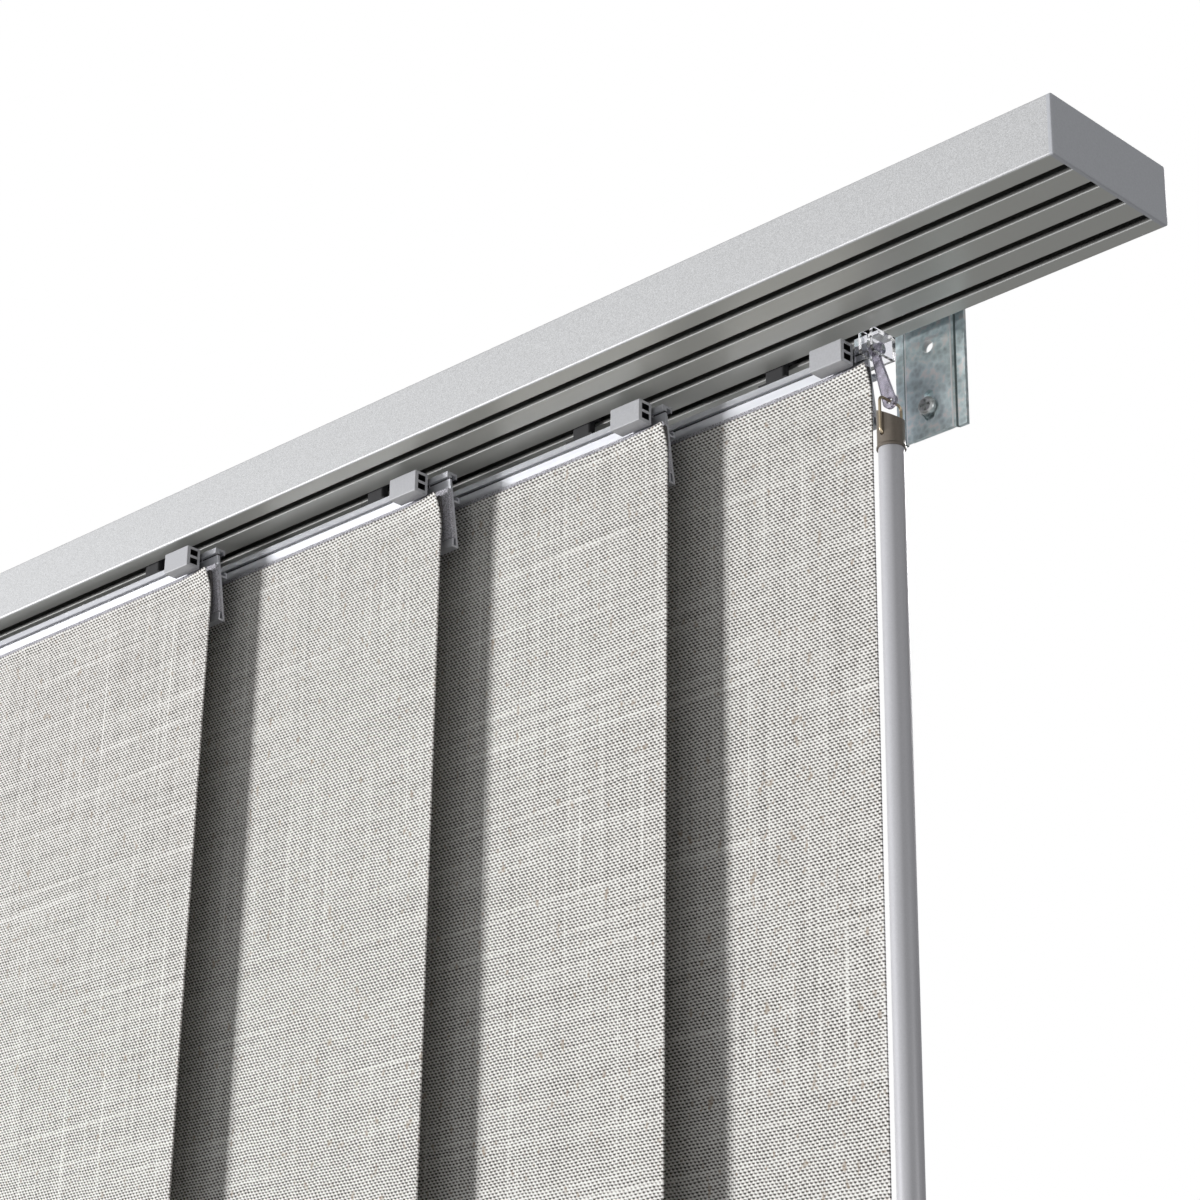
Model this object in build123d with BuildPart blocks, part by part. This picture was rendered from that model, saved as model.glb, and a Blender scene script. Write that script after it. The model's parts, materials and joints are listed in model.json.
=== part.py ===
from build123d import *
import os

# Panel track blind: four cloth panels that slide in the four tracks of one headrail.
# X runs along the rail, +X to the right, Y runs into the wall and Z is up.
# The origin is the middle bracket's wall hole, on the face of the wall.
os.makedirs("parts", exist_ok=True)

# Headrail, one extrusion with four channels that are open below
rail_length = 1660.0
rail_depth = 66.0
rail_height = 23.8
face_wall = 1.6
deck_wall = 1.5
lip_wall = 1.5
divider_wall = 1.2
track_count = 4
track_pitch = 15.15
first_track = 10.8
slot_width = 4.4
lip_round = 0.45
rail_edge_round = 0.9

# Clip channel in the hollow of the headrail's top
channel_width = 24.0
flange_height = 3.6
flange_wall = 1.2
flange_reach = 2.2

# Place of the rail against the wall
wall_gap = 7.5
hole_below_rail = 5.3

# End caps
cap_thickness = 1.8
cap_round = 0.7
plug_length = 10.0
plug_height = 9.0
plug_clearance = 0.15

# Wall brackets, pressed steel with a raised middle band
bracket_width = 32.0
bracket_sheet = 1.5
bracket_raise = 1.2
bracket_strip = 4.0
bracket_shoulder = 1.3
bracket_drop = 36.2
bracket_bend = 5.0
bracket_reach = 64.0
bracket_inset = 108.5
wall_hole_radius = 2.5
keyhole_drop = 24.9
keyhole_radius = 4.05
key_slot_radius = 2.35
key_slot_up = 4.55
key_slot_down = 3.15
leg_slot_length = 22.0
leg_slot_radius = 2.3

# Flat wall plates behind the brackets
plate_thickness = 1.1
plate_width = 19.0
plate_rise = 5.0
plate_clearance = 0.6

# Screws
screw_radius = 2.0
screw_clearance = 0.05
head_radius = 3.6
head_height = 2.4
head_gap = 0.3
head_round = 1.1
recess_length = 4.4
recess_width = 1.0
recess_depth = 1.3

# Rail clips that turn under the flanges
clip_length = 14.0
clip_thickness = 1.2
clip_clearance = 0.5
clip_boss_radius = 3.4
clip_boss_height = 0.8

# Cloth panels
panel_width = 450.0
panel_drop = 1480.0
panel_insets = (442.65, 317.65, 208.65, 121.15)
cloth_thickness = 0.7
cloth_top_drop = 15.6
cloth_contact = 6.0
loop_thickness = 1.4
loop_height = 17.0
loop_inset = 1.0
hook_thickness = 1.8
hook_top_drop = 13.0
hook_height = 20.6

# Carrier rails, a thin extrusion above each panel, whose wall leans back below its head
carrier_length = 441.0
carrier_past_cloth = (1.4, 2.9, -2.6, -2.85)
carrier_top_drop = 5.8
carrier_front = 3.0
carrier_height = 31.7
carrier_wall = 1.1
carrier_head_depth = 5.2
carrier_head_wall = 1.0
carrier_lip_drop = 2.5
carrier_lip_wall = 0.8
head_strip = 2.4
wall_setback = 1.3
wall_lean = 0.167
hook_shelf_drop = 11.4
hook_shelf_reach = 3.1
hook_tip_rise = 1.6
hem_gap = 1.4
hem_rise = 3.6
rib_wall = 0.8

# Gliders
glider_inset = 45.0
glider_length = 14.0
glider_head_width = 10.6
glider_head_height = 4.6
glider_neck_width = 3.6
glider_lift = 0.15
foot_height = 1.0
foot_width = 5.0
peg_length = 8.0
peg_width = 1.4
peg_depth = 1.8
peg_clearance = 0.1

# Catch blocks at the carriers' right ends
block_length = 15.5
block_front = 10.9
block_depth = 6.9
block_height = 9.1
block_edge_gap = 7.35
block_top_drop = 4.5
block_round = 0.4
block_hole_width = 3.9
block_hole_height = 2.6
block_hole_web = 1.2
block_neck_inset = 1.2
block_tongue = 1.2
block_tongue_clearance = 0.1

# Bottom bars
bar_depth = 6.4
bar_height = 26.0
bar_round = 2.8
bar_wall = 1.2
bar_slot_depth = 7.0
bar_slot_clearance = 0.15
bar_cap = 1.5
bar_plug_length = 8.0
bar_plug_clearance = 0.15

# Wand and its clear holder, at the right end of the last carrier
wand_right_of_panel = 7.95
wand_front = 2.2
wand_radius = 4.8
wand_wall = 0.8
wand_bottom_drop = 750.0
wand_cap_radius = 5.15
wand_cap_top_drop = 35.5
wand_cap_slope = 29.0
wand_cap_bottom_drop = 52.0
wand_cap_rim = 0.3
wand_rim_height = 1.3
wand_skirt = 2.5
wand_spigot_length = 10.0
wand_fit = 0.05
wand_tip_length = 34.0
wand_tip_lip = 0.4
wire_radius = 0.55
wire_half_width = 6.1
wire_corner = 2.0
wire_top_drop = 32.5
wire_bottom_drop = 47.0
wire_hole_clearance = 0.35
eye_radius = 2.9
eye_hole_radius = 1.4
arm_thickness = 1.6
arm_width = 3.2
arm_bend_gap = 0.4
arm_pin_drop = 9.5
arm_barrel_radius = 2.3
arm_barrel_length = 3.6
arm_pin_radius = 1.0
arm_pin_clearance = 0.06
arm_side_gap = 0.2
holder_wall = 1.3
holder_sleeve = 3.6
holder_top_drop = 3.0
holder_bottom_drop = 12.6
holder_front_wall = 1.2
holder_back = 4.8
holder_clearance = 0.1
holder_cheek_front = 8.4
holder_corner = 1.6

# Places that follow from the sizes above
rail_front_y = -(wall_gap + rail_depth)
rail_back_y = -wall_gap
rail_mid_y = (rail_front_y + rail_back_y) / 2
rail_bottom_z = hole_below_rail
rail_top_z = rail_bottom_z + rail_height
deck_top_z = rail_top_z - flange_height
deck_low_z = deck_top_z - deck_wall
rail_right_x = rail_length / 2
rail_left_x = -rail_length / 2
bracket_xs = {"left": rail_left_x + bracket_inset, "middle": 0.0, "right": rail_right_x - bracket_inset}


def track_y(index):
    """Centre of a track's slot, counted from the front."""
    return rail_front_y + first_track + index * track_pitch


def channel_sides(index):
    """Front and back inner faces of a channel."""
    front = track_y(index) - track_pitch / 2 + divider_wall / 2
    back = track_y(index) + track_pitch / 2 - divider_wall / 2
    if index == 0:
        front = rail_front_y + face_wall
    if index == track_count - 1:
        back = rail_back_y - face_wall
    return front, back


def add_rectangle(y_low, y_high, z_low, z_high, mode=Mode.ADD):
    """Rectangle by its edges, in a sketch on the YZ plane."""
    with Locations(((y_low + y_high) / 2, (z_low + z_high) / 2)):
        Rectangle(y_high - y_low, z_high - z_low, mode=mode)


def save(piece, name):
    """Label a finished piece and write it."""
    piece.part.label = name
    export_step(piece.part, f"parts/{name}.step")


# Headrail: flat face, four channels, lips rounded at the slots and two flanges on the sunken deck
with BuildPart() as headrail:
    with BuildSketch(Plane.YZ.offset(rail_left_x)) as rail_section:
        add_rectangle(rail_front_y, rail_back_y, rail_bottom_z, rail_top_z)
        fillet(rail_section.vertices(), radius=rail_edge_round)
        for track in range(track_count):
            inner_front, inner_back = channel_sides(track)
            add_rectangle(
                inner_front, inner_back, rail_bottom_z + lip_wall, deck_low_z, Mode.SUBTRACT
            )
            add_rectangle(
                track_y(track) - slot_width / 2,
                track_y(track) + slot_width / 2,
                rail_bottom_z,
                rail_bottom_z + lip_wall,
                Mode.SUBTRACT,
            )
        lip_corners = rail_section.vertices().filter_by_position(
            Axis.X, rail_front_y + face_wall, rail_back_y - face_wall
        )
        fillet(lip_corners.group_by(Axis.Y)[0], radius=lip_round)
        add_rectangle(
            rail_front_y + face_wall, rail_back_y - face_wall, deck_top_z, rail_top_z, Mode.SUBTRACT
        )
        for side in (-1, 1):
            wall_y = rail_mid_y + side * (channel_width + flange_wall) / 2
            lip_y = rail_mid_y + side * (channel_width / 2 - flange_reach / 2)
            add_rectangle(wall_y - flange_wall / 2, wall_y + flange_wall / 2, deck_top_z, rail_top_z)
            add_rectangle(
                lip_y - flange_reach / 2, lip_y + flange_reach / 2, rail_top_z - flange_wall, rail_top_z
            )
    extrude(amount=rail_length)
save(headrail, "headrail")


def make_end_cap(side, name):
    """Flat plate on the rail's end with a plug in the first and the last channel."""
    seam_x = side * rail_right_x
    with BuildPart() as end_cap:
        with BuildSketch(Plane.YZ.offset(seam_x)) as cap_outline:
            add_rectangle(rail_front_y, rail_back_y, rail_bottom_z, rail_top_z)
            fillet(cap_outline.vertices(), radius=rail_edge_round)
        extrude(amount=side * cap_thickness)
        outer_face = end_cap.faces().sort_by(Axis.X)[-1 if side > 0 else 0]
        fillet(outer_face.edges(), radius=cap_round)
        with BuildSketch(Plane.YZ.offset(seam_x)):
            for track in (0, track_count - 1):
                inner_front, inner_back = channel_sides(track)
                add_rectangle(
                    inner_front + plug_clearance,
                    inner_back - plug_clearance,
                    deck_low_z - plug_height,
                    deck_low_z - plug_clearance,
                )
        extrude(amount=-side * plug_length)
    save(end_cap, name)


make_end_cap(1, "end_cap_right")
make_end_cap(-1, "end_cap_left")


# Wall brackets: one strip with a raised band, bent forward over the rail
band_outer = bracket_width / 2 - bracket_strip
band_inner = band_outer - bracket_shoulder
leg_top_z = rail_top_z + bracket_raise + bracket_sheet


def bracket_outline():
    """Outline of the strip's cross-section, wall side at zero and raised side forward."""
    half = bracket_width / 2
    back = [(half, 0), (band_outer, 0), (band_inner, -bracket_raise)]
    front = [
        (band_inner, -bracket_raise - bracket_sheet),
        (band_outer, -bracket_sheet),
        (half, -bracket_sheet),
    ]
    points = [(-x, y) for x, y in back] + [(x, y) for x, y in back[::-1]]
    points += [(x, y) for x, y in front[::-1]] + [(-x, y) for x, y in front]
    return points


def make_bracket(centre_x, name):
    """One pressed bracket with its wall hole, keyhole and leg slot."""
    with BuildPart() as bracket:
        with BuildLine(Plane.YZ.offset(centre_x)) as strip_path:
            Polyline((0, -bracket_drop), (0, leg_top_z - bracket_bend))
            CenterArc((-bracket_bend, leg_top_z - bracket_bend), bracket_bend, 0, 90)
            Line((-bracket_bend, leg_top_z), (-bracket_reach, leg_top_z))
        with BuildSketch(Plane.XY.offset(-bracket_drop)):
            with BuildLine():
                Polyline(*[(centre_x + x, y) for x, y in bracket_outline()], close=True)
            make_face()
        sweep(path=strip_path.line)
        with BuildSketch(Plane.XZ):
            with Locations((centre_x, 0)):
                Circle(wall_hole_radius)
            with Locations((centre_x, -keyhole_drop)):
                Circle(keyhole_radius)
            with Locations((centre_x, -keyhole_drop + (key_slot_up - key_slot_down) / 2)):
                SlotCenterToCenter(key_slot_up + key_slot_down, key_slot_radius * 2, rotation=90)
        extrude(amount=bracket_raise + bracket_sheet, mode=Mode.SUBTRACT)
        with BuildSketch(Plane.XY.offset(rail_top_z)):
            with Locations((centre_x, rail_mid_y)):
                SlotOverall(leg_slot_length, leg_slot_radius * 2, rotation=90)
        extrude(amount=bracket_raise + bracket_sheet, mode=Mode.SUBTRACT)
    save(bracket, name)


def make_wall_plate(centre_x, name):
    """Flat plate in the hollow of a bracket, with the wall hole and the hanger screw's hole."""
    with BuildPart() as wall_plate:
        low_z = -bracket_drop + plate_clearance
        with BuildSketch(Plane.XZ):
            with Locations((centre_x, (low_z + plate_rise) / 2)):
                Rectangle(plate_width, plate_rise - low_z)
            with Locations((centre_x, 0)):
                Circle(wall_hole_radius, mode=Mode.SUBTRACT)
            with Locations((centre_x, -keyhole_drop)):
                Circle(screw_radius + screw_clearance, mode=Mode.SUBTRACT)
        extrude(amount=plate_thickness)
    save(wall_plate, name)


def make_rail_clip(centre_x, name):
    """Spring plate under the two flanges, drawn up by the clip screw."""
    plate_top = rail_top_z - flange_wall
    with BuildPart() as rail_clip:
        with BuildSketch(Plane.XY.offset(plate_top - clip_thickness)):
            with Locations((centre_x, rail_mid_y)):
                RectangleRounded(clip_length, channel_width - 2 * clip_clearance, clip_boss_radius)
        extrude(amount=clip_thickness)
        with BuildSketch(Plane.XY.offset(plate_top - clip_thickness)):
            with Locations((centre_x, rail_mid_y)):
                Circle(clip_boss_radius)
        extrude(amount=-clip_boss_height)
        with Locations((centre_x, rail_mid_y, plate_top)):
            Hole(screw_radius + screw_clearance)
    save(rail_clip, name)


for place, bracket_x in bracket_xs.items():
    make_bracket(bracket_x, f"wall_bracket_{place}")
    make_wall_plate(bracket_x, f"wall_plate_{place}")
    make_rail_clip(bracket_x, f"rail_clip_{place}")


def make_screws(name, origins, out_of_head, shank_length):
    """Pan head screws with a cross recess: the head's seat at each origin, the shank behind it."""
    with BuildPart() as screws:
        for origin in origins:
            seat = Plane(origin=origin, x_dir=(1, 0, 0), z_dir=out_of_head)
            with BuildSketch(seat):
                Circle(head_radius)
            extrude(amount=head_height)
            head_face = screws.faces().sort_by_distance(seat.offset(head_height).origin)[0]
            fillet(head_face.edges(), radius=head_round)
            with BuildSketch(seat):
                Circle(screw_radius)
            extrude(amount=-shank_length)
            with BuildSketch(seat.offset(head_height)):
                Rectangle(recess_length, recess_width)
                Rectangle(recess_width, recess_length)
            extrude(amount=-recess_depth, mode=Mode.SUBTRACT)
    save(screws, name)


# Clip screws go down through the bracket's leg into the clip, hanger screws into the wall plate
clip_seat_z = rail_top_z + bracket_sheet
clip_shank = bracket_sheet + flange_wall + clip_thickness + clip_boss_height
make_screws("clip_screws", [(x, rail_mid_y, clip_seat_z) for x in bracket_xs.values()], (0, 0, 1), clip_shank)
hanger_shank = bracket_raise + bracket_sheet + head_gap
make_screws(
    "hanger_screws", [(x, -hanger_shank, -keyhole_drop) for x in bracket_xs.values()], (0, -1, 0), hanger_shank
)


# Carrier rails, gliders, blocks, tapes, cloth and bottom bars of the four panels
carrier_top_z = rail_bottom_z - carrier_top_drop


def panel_right(index):
    """Right edge of a panel's cloth."""
    return rail_right_x - panel_insets[index]


def carrier_right(index):
    """Right end of a panel's carrier rail."""
    return panel_right(index) + carrier_past_cloth[index]


def glider_xs(index):
    """Middle of each glider of a panel."""
    right = carrier_right(index) - glider_inset
    left = carrier_right(index) - carrier_length + glider_inset
    return left, (left + right) / 2, right


def wall_front(depth):
    """How far the leaning wall's face stands behind the head's face, at a depth below the top."""
    return wall_setback + (depth - head_strip) * wall_lean


def carrier_outline():
    """Carrier section from its front top corner: y to the back, z up."""
    hem_floor = carrier_height - rib_wall
    hem_inner = wall_front(hem_floor) - hem_gap
    shelf_low = hook_shelf_drop + rib_wall
    shelf_tip = wall_front(hook_shelf_drop) + carrier_wall + hook_shelf_reach
    tip_top = hook_tip_rise - hook_shelf_drop
    lip_front = carrier_head_depth - carrier_lip_wall
    return [
        (0, 0),
        (0, -head_strip),
        (wall_setback, -head_strip),
        (wall_front(hem_floor), -hem_floor),
        (hem_inner, -hem_floor),
        (hem_inner, hem_rise - carrier_height),
        (hem_inner - rib_wall, hem_rise - carrier_height),
        (hem_inner - rib_wall, -carrier_height),
        (wall_front(carrier_height) + carrier_wall, -carrier_height),
        (wall_front(shelf_low) + carrier_wall, -shelf_low),
        (shelf_tip, -shelf_low),
        (shelf_tip, tip_top),
        (shelf_tip - rib_wall * 2, tip_top),
        (shelf_tip - rib_wall * 2, tip_top - rib_wall / 2),
        (shelf_tip - rib_wall, tip_top - rib_wall / 2),
        (shelf_tip - rib_wall, -hook_shelf_drop),
        (wall_front(hook_shelf_drop) + carrier_wall, -hook_shelf_drop),
        (wall_front(carrier_head_wall) + carrier_wall, -carrier_head_wall),
        (lip_front, -carrier_head_wall),
        (lip_front, -carrier_lip_drop),
        (carrier_head_depth, -carrier_lip_drop),
        (carrier_head_depth, 0),
    ]


def peg_y(index):
    """Middle of the carrier's top channel."""
    channel_front = wall_front(carrier_head_wall) + carrier_wall
    channel_back = carrier_head_depth - carrier_lip_wall
    return track_y(index) - carrier_front + (channel_front + channel_back) / 2


def make_carrier(index):
    """Thin extrusion with a head, a hook behind, a hem below and the gliders' peg slots."""
    front_y = track_y(index) - carrier_front
    with BuildPart() as carrier:
        with BuildSketch(Plane.YZ.offset(carrier_right(index) - carrier_length)):
            with BuildLine():
                Polyline(*[(front_y + y, carrier_top_z + z) for y, z in carrier_outline()], close=True)
            make_face()
        extrude(amount=carrier_length)
        with BuildSketch(Plane.XY.offset(carrier_top_z)):
            with Locations(*[(x, peg_y(index)) for x in glider_xs(index)]):
                Rectangle(peg_length + 2 * peg_clearance, peg_width + 2 * peg_clearance)
        extrude(amount=-carrier_head_wall, mode=Mode.SUBTRACT)
    save(carrier, f"carrier_rail_{index + 1}")


def make_gliders(index):
    """Gliders: head in the channel, neck through the slot, foot and peg on the carrier."""
    head_bottom = rail_bottom_z + lip_wall + glider_lift
    foot_y = track_y(index) - carrier_front + carrier_head_depth / 2
    with BuildPart() as gliders:
        for x in glider_xs(index):
            with BuildSketch(Plane.XY.offset(head_bottom)):
                with Locations((x, track_y(index))):
                    RectangleRounded(glider_length, glider_head_width, slot_width / 2)
            extrude(amount=glider_head_height)
            with BuildSketch(Plane.XY.offset(carrier_top_z + foot_height)):
                with Locations((x, track_y(index))):
                    RectangleRounded(glider_length - slot_width, glider_neck_width, slot_width / 4)
            extrude(amount=head_bottom - carrier_top_z - foot_height)
            with BuildSketch(Plane.XY.offset(carrier_top_z)):
                with Locations((x, foot_y)):
                    Rectangle(glider_length, foot_width)
            extrude(amount=foot_height)
            with BuildSketch(Plane.XY.offset(carrier_top_z)):
                with Locations((x, peg_y(index))):
                    Rectangle(peg_length, peg_width)
            extrude(amount=-peg_depth)
        head_tops = gliders.faces().filter_by(Axis.Z).group_by(Axis.Z)[-1]
        chamfer(head_tops.edges(), length=foot_height)
    save(gliders, f"gliders_{index + 1}")


def make_catch_block(index):
    """Moulded block in front of the carrier with two square holes along it."""
    right = panel_right(index) - block_edge_gap
    front_y = track_y(index) - block_front
    top_z = rail_bottom_z - block_top_drop
    tongue_top = carrier_top_z - head_strip - block_tongue_clearance
    tongue_low = tongue_top - block_tongue
    face_y = track_y(index) - carrier_front
    middle_y = front_y + block_depth / 2
    middle_z = top_z - block_height / 2
    with BuildPart() as block:
        with BuildSketch(Plane.YZ.offset(right - block_length)):
            add_rectangle(front_y, front_y + block_depth, top_z - block_height, top_z)
        extrude(amount=block_length)
        fillet(block.edges(), radius=block_round)
        with BuildSketch(Plane.YZ.offset(right - block_length)):
            step = block_hole_height + block_hole_web
            with Locations((middle_y, middle_z - step / 2), (middle_y, middle_z + step / 2)):
                Rectangle(block_hole_width, block_hole_height)
        extrude(amount=block_length, mode=Mode.SUBTRACT)
        neck_left = right - block_length + block_neck_inset
        with BuildSketch(Plane.YZ.offset(neck_left)):
            add_rectangle(
                front_y + block_depth - block_round,
                face_y,
                tongue_low,
                carrier_top_z - block_round,
            )
            add_rectangle(face_y, face_y + wall_setback - block_tongue_clearance, tongue_low, tongue_top)
        extrude(amount=block_length - 2 * block_neck_inset)
    save(block, f"catch_block_{index + 1}")


def tape_face_y(index, drop):
    """Front face of the hook tape at a drop below the rail."""
    return track_y(index) - carrier_front + wall_front(drop - carrier_top_drop) - hook_thickness


def cloth_front_y(index):
    """Front face of a panel's cloth where it hangs straight."""
    return tape_face_y(index, cloth_top_drop + cloth_contact) - loop_thickness - cloth_thickness


def save_strip(name, left, right, front_line, thickness):
    """Strip of tape or cloth from the points down its front face."""
    back_line = [(y + thickness, z) for y, z in front_line[::-1]]
    with BuildPart() as strip:
        with BuildSketch(Plane.YZ.offset(left)):
            with BuildLine():
                Polyline(*front_line, *back_line, close=True)
            make_face()
        extrude(amount=right - left)
    save(strip, name)


def make_cloth_and_tapes(index):
    """Hook tape on the carrier's leaning wall, loop tape and cloth that lie on its top and hang down."""
    right = panel_right(index)
    left = right - panel_width
    number = index + 1
    hook_bottom_drop = hook_top_drop + hook_height
    bend_drop = cloth_top_drop + cloth_contact
    lean_back = tape_face_y(index, bend_drop) - tape_face_y(index, cloth_top_drop)
    hook_line = [
        (tape_face_y(index, hook_top_drop), rail_bottom_z - hook_top_drop),
        (tape_face_y(index, hook_bottom_drop), rail_bottom_z - hook_bottom_drop),
    ]
    carrier_left = carrier_right(index) - carrier_length
    save_strip(f"hook_tape_{number}", carrier_left, carrier_right(index), hook_line, hook_thickness)
    loop_y = cloth_front_y(index) + cloth_thickness
    loop_line = [
        (loop_y - lean_back, cloth_top_z),
        (loop_y, rail_bottom_z - bend_drop),
        (loop_y, cloth_top_z - loop_height),
    ]
    save_strip(f"loop_tape_{number}", left + loop_inset, right - loop_inset, loop_line, loop_thickness)
    cloth_y = cloth_front_y(index)
    cloth_line = [
        (cloth_y - lean_back, cloth_top_z),
        (cloth_y, rail_bottom_z - bend_drop),
        (cloth_y, bar_top_z - bar_slot_depth),
    ]
    save_strip(f"cloth_panel_{number}", left, right, cloth_line, cloth_thickness)


cloth_top_z = rail_bottom_z - cloth_top_drop
bar_top_z = rail_bottom_z - panel_drop + bar_height
bar_hollow_top_z = bar_top_z - bar_slot_depth - bar_wall
bar_hollow_bottom_z = bar_top_z - bar_height + bar_wall
bar_hollow_depth = bar_depth - 2 * bar_wall
cloth_slot = cloth_thickness + 2 * bar_slot_clearance


def add_bar_outline(index):
    """Rounded outline of a bottom bar with the cloth's slot, in a sketch on the YZ plane."""
    middle_y = cloth_front_y(index) + cloth_thickness / 2
    with Locations((middle_y, bar_top_z - bar_height / 2)):
        RectangleRounded(bar_depth, bar_height, bar_round)
    add_rectangle(
        middle_y - cloth_slot / 2,
        middle_y + cloth_slot / 2,
        bar_top_z - bar_slot_depth,
        bar_top_z,
        Mode.SUBTRACT,
    )


def add_bar_hollow(index, clearance, mode):
    """Hollow of a bottom bar, smaller by a clearance, in a sketch on the YZ plane."""
    middle_y = cloth_front_y(index) + cloth_thickness / 2
    add_rectangle(
        middle_y - bar_hollow_depth / 2 + clearance,
        middle_y + bar_hollow_depth / 2 - clearance,
        bar_hollow_bottom_z + clearance,
        bar_hollow_top_z - clearance,
        mode,
    )


def make_bottom_bar(index):
    """Hollow bar that grips the cloth's lower edge in a slot."""
    with BuildPart() as bar:
        with BuildSketch(Plane.YZ.offset(panel_right(index) - panel_width + bar_cap)):
            add_bar_outline(index)
            add_bar_hollow(index, 0, Mode.SUBTRACT)
        extrude(amount=panel_width - 2 * bar_cap)
    save(bar, f"bottom_bar_{index + 1}")


def make_bar_caps(index):
    """Plug-in caps at both ends of a bottom bar."""
    right_seam = panel_right(index) - bar_cap
    left_seam = panel_right(index) - panel_width + bar_cap
    with BuildPart() as caps:
        for seam_x, outward in ((right_seam, 1), (left_seam, -1)):
            with BuildSketch(Plane.YZ.offset(seam_x)):
                add_bar_outline(index)
            extrude(amount=outward * bar_cap)
            with BuildSketch(Plane.YZ.offset(seam_x)):
                add_bar_hollow(index, bar_plug_clearance, Mode.ADD)
            extrude(amount=-outward * bar_plug_length)
    save(caps, f"bottom_bar_caps_{index + 1}")


for track in range(track_count):
    make_carrier(track)
    make_gliders(track)
    make_catch_block(track)
    make_cloth_and_tapes(track)
    make_bottom_bar(track)
    make_bar_caps(track)


# Wand: clear holder on the last carrier, pinned arm, wire loop, cap, rod and tip
last = track_count - 1
wand_x = panel_right(last) + wand_right_of_panel
wand_y = track_y(last) - wand_front
carrier_face_y = track_y(last) - carrier_front
carrier_end_x = carrier_right(last)
pin_z = rail_bottom_z - arm_pin_drop
eye_z = rail_bottom_z - wire_top_drop
wire_low_z = rail_bottom_z - wire_bottom_drop
left_cheek_x = panel_right(last) + arm_side_gap
barrel_left_x = left_cheek_x + arm_side_gap
barrel_right_x = barrel_left_x + arm_barrel_length
right_cheek_x = barrel_right_x + arm_side_gap
holder_top_z = rail_bottom_z - holder_top_drop
holder_bottom_z = rail_bottom_z - holder_bottom_drop
holder_front_y = carrier_face_y - holder_front_wall - holder_clearance
holder_back_y = track_y(last) + holder_back

cheek_front_y = track_y(last) - holder_cheek_front


def add_cheek():
    """Side plate of the holder, round at its two front corners, in a sketch on the YZ plane."""
    add_rectangle(cheek_front_y + holder_corner, holder_back_y, holder_bottom_z, holder_top_z)
    add_rectangle(
        cheek_front_y, holder_back_y, holder_bottom_z + holder_corner, holder_top_z - holder_corner
    )
    corner_y = cheek_front_y + holder_corner
    with Locations((corner_y, holder_bottom_z + holder_corner), (corner_y, holder_top_z - holder_corner)):
        Circle(holder_corner)


with BuildPart() as wand_holder:
    with BuildSketch(Plane.YZ.offset(carrier_end_x - holder_sleeve)):
        add_rectangle(holder_front_y, holder_back_y, holder_bottom_z, holder_top_z)
    extrude(amount=left_cheek_x - holder_wall - carrier_end_x + holder_sleeve)
    with BuildSketch(Plane.YZ.offset(carrier_end_x - holder_sleeve)):
        add_rectangle(
            carrier_face_y - holder_clearance,
            carrier_face_y + carrier_head_depth + holder_clearance,
            holder_bottom_z,
            carrier_top_z + holder_clearance,
        )
    extrude(amount=left_cheek_x - holder_wall - carrier_end_x + holder_sleeve, mode=Mode.SUBTRACT)
    for cheek_left_x in (left_cheek_x - holder_wall, right_cheek_x):
        with BuildSketch(Plane.YZ.offset(cheek_left_x)):
            add_cheek()
        extrude(amount=holder_wall)
    with BuildSketch(Plane.YZ.offset(left_cheek_x)):
        add_rectangle(holder_front_y, holder_back_y, holder_top_z - holder_wall, holder_top_z)
        add_rectangle(holder_back_y - holder_wall, holder_back_y, holder_bottom_z, holder_top_z)
    extrude(amount=right_cheek_x - left_cheek_x)
    with BuildSketch(Plane.YZ.offset(left_cheek_x - holder_wall)):
        with Locations((wand_y, pin_z)):
            Circle(arm_pin_radius + screw_clearance)
    extrude(amount=right_cheek_x - left_cheek_x + 2 * holder_wall, mode=Mode.SUBTRACT)
save(wand_holder, "wand_holder")

with BuildPart() as arm_pin:
    with BuildSketch(Plane.YZ.offset(left_cheek_x - holder_wall)):
        with Locations((wand_y, pin_z)):
            Circle(arm_pin_radius)
    extrude(amount=right_cheek_x - left_cheek_x + 2 * holder_wall)
save(arm_pin, "arm_pin")

with BuildPart() as wand_arm:
    with BuildSketch(Plane.YZ.offset(barrel_left_x)):
        with Locations((wand_y, pin_z)):
            Circle(arm_barrel_radius)
    extrude(amount=arm_barrel_length)
    with BuildSketch(Plane.XZ.offset(-(wand_y - arm_thickness / 2))):
        with BuildLine():
            barrel_mid_x = (barrel_left_x + barrel_right_x) / 2
            arm_bend_z = holder_bottom_z - arm_bend_gap
            Polyline(
                (barrel_mid_x - arm_width / 2, arm_bend_z),
                (barrel_mid_x - arm_width / 2, pin_z),
                (barrel_mid_x + arm_width / 2, pin_z),
                (barrel_mid_x + arm_width / 2, arm_bend_z),
                (wand_x + arm_width / 2, eye_z + eye_radius),
                (wand_x + eye_radius, eye_z),
                (wand_x - eye_radius, eye_z),
                close=True,
            )
        make_face()
        with Locations((wand_x, eye_z)):
            Circle(eye_radius)
    extrude(amount=-arm_thickness)
    with BuildSketch(Plane.XZ.offset(-(wand_y - arm_thickness / 2))):
        with Locations((wand_x, eye_z)):
            Circle(eye_hole_radius)
    extrude(amount=-arm_thickness, mode=Mode.SUBTRACT)
    with BuildSketch(Plane.YZ.offset(barrel_left_x)):
        with Locations((wand_y, pin_z)):
            Circle(arm_pin_radius + arm_pin_clearance)
    extrude(amount=arm_barrel_length, mode=Mode.SUBTRACT)
save(wand_arm, "wand_arm")

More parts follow.
